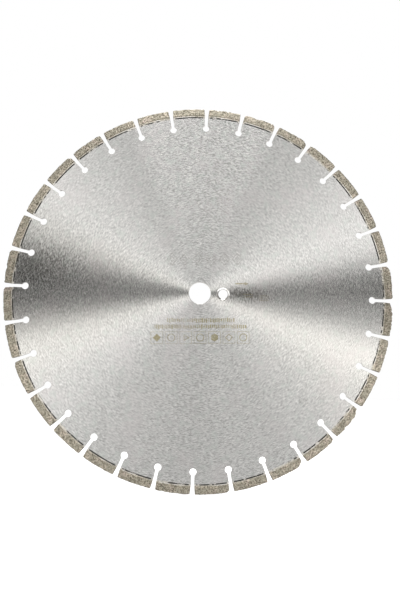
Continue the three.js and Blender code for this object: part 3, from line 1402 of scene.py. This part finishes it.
@dataclass
class EtchedMarks:
    """Plain marks etched on the front face: shapes and rules only, with no lettering.

    faint is the finish of the band above the bore, and tan of the marks beside and below it.
    """

    faint: GroundSteel = GroundSteel(
        "faint_etch", roughness=0.26, anisotropic=1.0, light=(0.50, 0.49, 0.46), dark=(0.42, 0.41, 0.38)
    )
    tan: GroundSteel = GroundSteel(
        "tan_etch", roughness=0.26, anisotropic=1.0, light=(0.46, 0.41, 0.27), dark=(0.34, 0.31, 0.20)
    )
    turn: float = math.radians(2.5)
    height: float = 0.02 * MM
    band_height: float = 40 * MM
    band_start: float = -32 * MM
    band_pitch: float = 15.2 * MM
    band_count: int = 6
    outer_diamond: tuple[float, float] = (6.6 * MM, 7.6 * MM)
    outer_pen: float = 0.7 * MM
    inner_diamond: tuple[float, float] = (3.0 * MM, 3.5 * MM)
    inner_pen: float = 0.6 * MM
    rule_rows: tuple[tuple[float, float], ...] = ((-31.5 * MM, 38 * MM), (-39 * MM, 52 * MM))
    rule_width: tuple[float, float] = (0.8 * MM, 1.9 * MM)
    rule_height: tuple[float, float] = (3.2 * MM, 5.2 * MM)
    rule_lift: float = 0.5 * MM
    rule_gap: tuple[float, float] = (0.6 * MM, 1.1 * MM)
    rule_seed: int = 5
    frame_height: float = -51.5 * MM
    frame_pitch: float = 16.5 * MM
    frame_half: float = 7 * MM
    frame_pen: float = 0.4 * MM
    shape_half: float = 4.6 * MM
    shape_pen: float = 0.9 * MM
    shape_sides: tuple[int, ...] = (4, 24, 3, 24, 6, 4, 24)
    filled_shapes: tuple[int, ...] = (0, 4)
    arrow_tip: float = 57 * MM
    arrow_height: float = 11 * MM
    arrow_half: float = 0.7 * MM
    arrow_head: float = 5 * MM
    arrow_length: float = 16 * MM
    dash_size: tuple[float, float] = (11 * MM, 0.8 * MM)
    dashes: tuple[tuple[float, float], ...] = (
        (56 * MM, -1.5 * MM),
        (56 * MM, -4.5 * MM),
        (74 * MM, -3.5 * MM),
        (74 * MM, -6.0 * MM),
        (74 * MM, -8.5 * MM),
    )
    reach: Reach = field(default_factory=lambda: Reach.of("steel_core"))

    def _stroke(
        self,
        bm: bmesh.types.BMesh,
        x: float,
        z: float,
        half: tuple[float, float],
        sides: int,
        pen: float | None = None,
        spin: float = 0.0,
    ) -> None:
        """Draws one flat shape.

        Args:
            bm: the mesh to draw in.
            x: where its middle is, across.
            z: where its middle is, up.
            half: its half width and half height.
            sides: how many corners it has, 4 with no spin being a diamond on its point.
            pen: the width of its outline, or None for a filled shape.
            spin: how far it is turned before it is sized, in radians.
        """
        made = bmesh.ops.create_circle(bm, cap_ends=True, segments=sides, radius=1.0)["verts"]
        place = (
            Matrix.Translation((x, 0.0, z))
            @ Matrix.Diagonal((half[0], 1.0, half[1], 1.0))
            @ Matrix.Rotation(math.pi / 2, 4, "X")
            @ Matrix.Rotation(spin, 4, "Z")
        )
        bmesh.ops.transform(bm, matrix=place, verts=made)
        face = next(iter(made[0].link_faces))
        if pen is not None:
            bm.normal_update()
            border = {"thickness": pen, "use_boundary": True, "use_even_offset": True}
            bmesh.ops.inset_region(bm, faces=[face], **border)
            bmesh.ops.delete(bm, geom=[face], context="FACES_ONLY")

    def _box(
        self,
        bm: bmesh.types.BMesh,
        x: float,
        z: float,
        size: tuple[float, float],
        pen: float | None = None,
    ) -> None:
        """Draws a level box round this place, of this width and height, filled if it has no pen."""
        corner = (size[0] / math.sqrt(2), size[1] / math.sqrt(2))
        self._stroke(bm, x, z, corner, 4, pen, math.pi / 4)

    def _plate(self, bm: bmesh.types.BMesh, name: str, mark: bpy.types.Material) -> bpy.types.Object:
        """Thickens flat marks, lays them on the front face and makes them a piece.

        Args:
            bm: the flat marks.
            name: the piece's name.
            mark: its finish.

        Returns:
            The piece.
        """
        bmesh.ops.transform(bm, matrix=Matrix.Rotation(-self.turn, 4, "Y"), verts=bm.verts[:])
        thicken(bm, bm.faces[:], Vector((0.0, -2 * self.height, 0.0)))
        bmesh.ops.translate(bm, verts=bm.verts[:], vec=(0.0, self.reach.front + self.height, 0.0))
        return finish_piece(bm, name, (mark,))

    def _band(self) -> bmesh.types.BMesh:
        """A row of outlined diamonds above the bore, each with a smaller one inside it.

        Returns:
            The flat marks.
        """
        bm = bmesh.new()
        for index in range(self.band_count):
            x = self.band_start + self.band_pitch * index
            self._stroke(bm, x, self.band_height, self.outer_diamond, 4, self.outer_pen)
            self._stroke(bm, x, self.band_height, self.inner_diamond, 4, self.inner_pen)
        return bm

    def _rules(self) -> bmesh.types.BMesh:
        """Two rows of small upright bars below the bore, of uneven width and height.

        Returns:
            The flat marks.
        """
        bm = bmesh.new()
        draw = random.Random(self.rule_seed)
        for z, half_run in self.rule_rows:
            x = -half_run
            while x < half_run:
                width = draw.uniform(*self.rule_width)
                height = draw.uniform(*self.rule_height)
                lift = draw.uniform(-self.rule_lift, self.rule_lift)
                self._box(bm, x + width / 2, z + lift, (width, height))
                x += width + draw.uniform(*self.rule_gap)
        return bm

    def _frames(self) -> bmesh.types.BMesh:
        """A row of square frames below the rows of bars, each round one plain shape.

        Returns:
            The flat marks.
        """
        bm = bmesh.new()
        side = 2 * self.frame_half
        half = (self.shape_half, self.shape_half)
        middle = (len(self.shape_sides) - 1) / 2
        for index, sides in enumerate(self.shape_sides):
            x = self.frame_pitch * (index - middle)
            self._box(bm, x, self.frame_height, (side, side), self.frame_pen)
            spin = math.pi / 6 if sides == 3 else 0.0
            pen = None if index in self.filled_shapes else self.shape_pen
            self._stroke(bm, x, self.frame_height, half, sides, pen, spin)
        return bm

    def _arrow(self) -> bmesh.types.BMesh:
        """A short arrow beside the pin hole, with a few short rules under it.

        Returns:
            The flat marks.
        """
        bm = bmesh.new()
        neck = self.arrow_tip - self.arrow_head
        tail = self.arrow_tip - self.arrow_length
        barb = 3 * self.arrow_half
        outline = (
            (tail, -self.arrow_half),
            (neck, -self.arrow_half),
            (neck, -barb),
            (self.arrow_tip, 0.0),
            (neck, barb),
            (neck, self.arrow_half),
            (tail, self.arrow_half),
        )
        corners = [Vector((x, 0.0, self.arrow_height + z)) for x, z in outline]
        arrow = Outline(bm, corners[0])
        for corner in corners[1:]:
            arrow.line(corner)
        arrow.fill()
        for x, z in self.dashes:
            self._box(bm, x, z, self.dash_size)
        return bm

    def build(self) -> list[bpy.types.Object]:
        """Builds the four groups of marks.

        Returns:
            The pieces.
        """
        faint, tan = self.faint.material(), self.tan.material()
        return [
            self._plate(self._band(), "etched_band", faint),
            self._plate(self._rules(), "etched_rules", tan),
            self._plate(self._frames(), "etched_frames", tan),
            self._plate(self._arrow(), "etched_arrow", tan),
        ]


# ---------------------------------------------------------------- the studio


@dataclass(frozen=True)
class Glow:
    """How bright the tent is at one angle round its middle, in degrees, and how warm."""

    angle: float
    light: float
    warmth: float = 0.0

    def colour(self) -> tuple[float, float, float, float]:
        """The light's colour: warmth takes away blue, and some green."""
        green = self.light * (1 - 0.3 * self.warmth)
        blue = self.light * (1 - self.warmth)
        return opaque((self.light, green, blue))


@dataclass
class Studio:
    """A white light tent with two dark gaps, a soft lamp overhead and a pale floor under the blade.

    The tent's middle is the direction in which the bore mirrors the lens, and its glow depends only
    on the angle round that middle. So the ground faces show a dark fan towards each gap. The sides
    take over near the blade's own plane, which slanted surfaces such as the countersink mirror.
    """

    lens: Vector
    strength: float = 2.0
    glows: tuple[Glow, ...] = (
        Glow(3, 0.0),
        Glow(8, 0.02),
        Glow(13, 0.29),
        Glow(18, 0.74),
        Glow(25, 0.70),
        Glow(36, 0.54),
        Glow(52, 0.42),
        Glow(82, 0.32),
        Glow(115, 0.39),
        Glow(135, 0.51),
        Glow(150, 0.64),
        Glow(158, 0.52, 0.04),
        Glow(166, 0.14, 0.04),
        Glow(171, 0.0),
        Glow(185, 0.0),
        Glow(191, 0.24, 0.04),
        Glow(197, 0.76, 0.06),
        Glow(205, 0.73, 0.04),
        Glow(216, 0.57),
        Glow(236, 0.40),
        Glow(268, 0.30),
        Glow(296, 0.34),
        Glow(314, 0.43),
        Glow(330, 0.56, 0.03),
        Glow(339, 0.86, 0.05),
        Glow(345, 0.98, 0.05),
        Glow(351, 0.44),
        Glow(357, 0.05),
    )
    sides: tuple[Glow, ...] = (
        Glow(16, 0.6),
        Glow(24, 0.0),
        Glow(70, 0.0),
        Glow(82, 0.12),
        Glow(94, 0.12),
        Glow(106, 0.0),
        Glow(150, 0.0),
        Glow(158, 0.6),
    )
    side_depth: float = 0.25
    floor_drop: float = 0.6 * MM
    floor_half: float = 12.0
    floor_glow: float = 0.6
    lamp_power: float = 26.0
    lamp_size: tuple[float, float] = (1.1, 1.2)
    lamp_place: tuple[float, float, float] = (0.0, -0.35, 1.5)
    lamp_tilt: float = math.radians(-12)

    def _tent(self) -> None:
        """Sets the world: the tent for the blade, plain white for the lens."""
        world = bpy.data.worlds.new("light_tent")
        world.use_nodes = True
        world.node_tree.nodes.clear()
        graph = Graph(world.node_tree)
        ray = graph.add("ShaderNodeTexCoord").outputs["Generated"]
        parts = graph.add("ShaderNodeSeparateXYZ", {0: ray}).outputs
        depth = graph.math("ABSOLUTE", parts[1])
        across = graph.math("MULTIPLY_ADD", depth, self.lens.x / -self.lens.y, parts[0])
        up = graph.math("MULTIPLY_ADD", depth, self.lens.z / -self.lens.y, parts[2])
        turn = graph.math("FRACT", graph.math("DIVIDE", graph.math("ARCTAN2", up, across), math.tau))
        rings = []
        for glows in (self.glows, self.sides):
            ring = graph.add("ShaderNodeValToRGB", {0: turn})
            self._paint(ring.color_ramp, glows)
            rings.append(ring.outputs[0])
        share = graph.band(depth, 1.6 * self.side_depth, 0.6 * self.side_depth)
        light = graph.mix(share, *rings)
        tent = graph.add("ShaderNodeBackground", {0: light, 1: self.strength})
        white = graph.add("ShaderNodeBackground", {0: opaque((1.0, 1.0, 1.0)), 1: 1.0})
        lens = graph.add("ShaderNodeLightPath").outputs["Is Camera Ray"]
        seen = graph.add("ShaderNodeMixShader", {0: lens, 1: tent.outputs[0], 2: white.outputs[0]})
        graph.add("ShaderNodeOutputWorld", {0: seen.outputs[0]})
        bpy.context.scene.world = world

    def _paint(self, ring: bpy.types.ColorRamp, glows: Sequence[Glow]) -> None:
        """Puts glows on a ramp that runs once round the tent's middle.

        Args:
            ring: the ramp.
            glows: the glows, by rising angle.
        """
        ring.interpolation = "EASE"
        first, last = glows[0], glows[-1]
        share = (360 - last.angle) / (360 - last.angle + first.angle)
        seam = Glow(0, last.light + (first.light - last.light) * share)
        for index, glow in enumerate((seam, *glows, Glow(360, seam.light))):
            stop = ring.elements[index] if index == 0 else ring.elements.new(glow.angle / 360)
            stop.position = glow.angle / 360
            stop.color = glow.colour()

    def _floor(self, level: float) -> None:
        """Lays the floor, which glows for the lens alone so that it reads as white paper.

        Args:
            level: its height.
        """
        bm = bmesh.new()
        bmesh.ops.create_grid(bm, x_segments=1, y_segments=1, size=self.floor_half)
        bmesh.ops.translate(bm, verts=bm.verts[:], vec=(0.0, 0.0, level))
        mesh = bpy.data.meshes.new("studio_floor")
        bm.to_mesh(mesh)
        bm.free()
        graph, shader, material = Finish("floor_paper", metallic=0.0, roughness=0.9).start()
        fibre = graph.band(graph.noise(graph.place(), 60.0, 4.0), 0.2, 0.8)
        paper = graph.mix(fibre, opaque((0.78, 0.78, 0.775)), opaque((0.80, 0.80, 0.80)))
        graph.feed(shader.inputs["Base Color"], paper)
        graph.feed(shader.inputs["Emission Color"], opaque((1.0, 1.0, 1.0)))
        lens = graph.add("ShaderNodeLightPath").outputs["Is Camera Ray"]
        graph.feed(shader.inputs["Emission Strength"], graph.math("MULTIPLY", lens, self.floor_glow))
        mesh.materials.append(material)
        floor = bpy.data.objects.new("studio_floor", mesh)
        floor.visible_glossy = False
        bpy.context.scene.collection.objects.link(floor)

    def _lamp(self) -> None:
        """Hangs a wide soft lamp over the blade."""
        data = bpy.data.lights.new("overhead_softbox", "AREA")
        data.shape = "RECTANGLE"
        data.size, data.size_y = self.lamp_size
        data.energy = self.lamp_power
        lamp = bpy.data.objects.new("overhead_softbox", data)
        lamp.location = self.lamp_place
        lamp.rotation_euler = (self.lamp_tilt, 0.0, 0.0)
        bpy.context.scene.collection.objects.link(lamp)

    def build(self) -> None:
        """Sets up the tent, the floor and the lamp."""
        self._tent()
        self._floor(CAD_BOX[0].z - self.floor_drop)
        self._lamp()
        bpy.context.scene.view_settings.view_transform = "Standard"


@dataclass(frozen=True)
class Camera:
    """The camera: a little below the middle of the blade, looking slightly up, and rolled a touch."""

    place: Vector = Vector((-15.7, -686.4, -109.2)) * MM
    target: Vector = Vector((0.5, 0.0, -7.9)) * MM
    roll: float = math.radians(-2.2)
    lens: float = 36.0
    sensor: float = 36.0

    def build(self) -> None:
        """Makes the camera the scene's own."""
        data = bpy.data.cameras.new("camera")
        data.lens = self.lens
        data.sensor_width = self.sensor
        data.clip_start = 0.01
        data.clip_end = 60.0
        camera = bpy.data.objects.new("camera", data)
        bpy.context.scene.collection.objects.link(camera)
        aim = (self.target - self.place).to_track_quat("-Z", "Y").to_matrix().to_4x4()
        camera.matrix_world = Matrix.Translation(self.place) @ aim @ Matrix.Rotation(-self.roll, 4, "Z")
        bpy.context.scene.camera = camera


def main() -> None:
    """Builds the camera, the blade and the studio."""
    logging.basicConfig(level=logging.INFO, format="%(name)s: %(message)s")
    camera = Camera()
    camera.build()
    for part in (SteelCore(), DiamondSegments(), WeldSeams(), EtchedMarks()):
        for piece in part.build():
            log.info("made %s: %d vertices", piece.name, len(piece.data.vertices))
    Studio(camera.place).build()


if __name__ == "__main__":
    main()
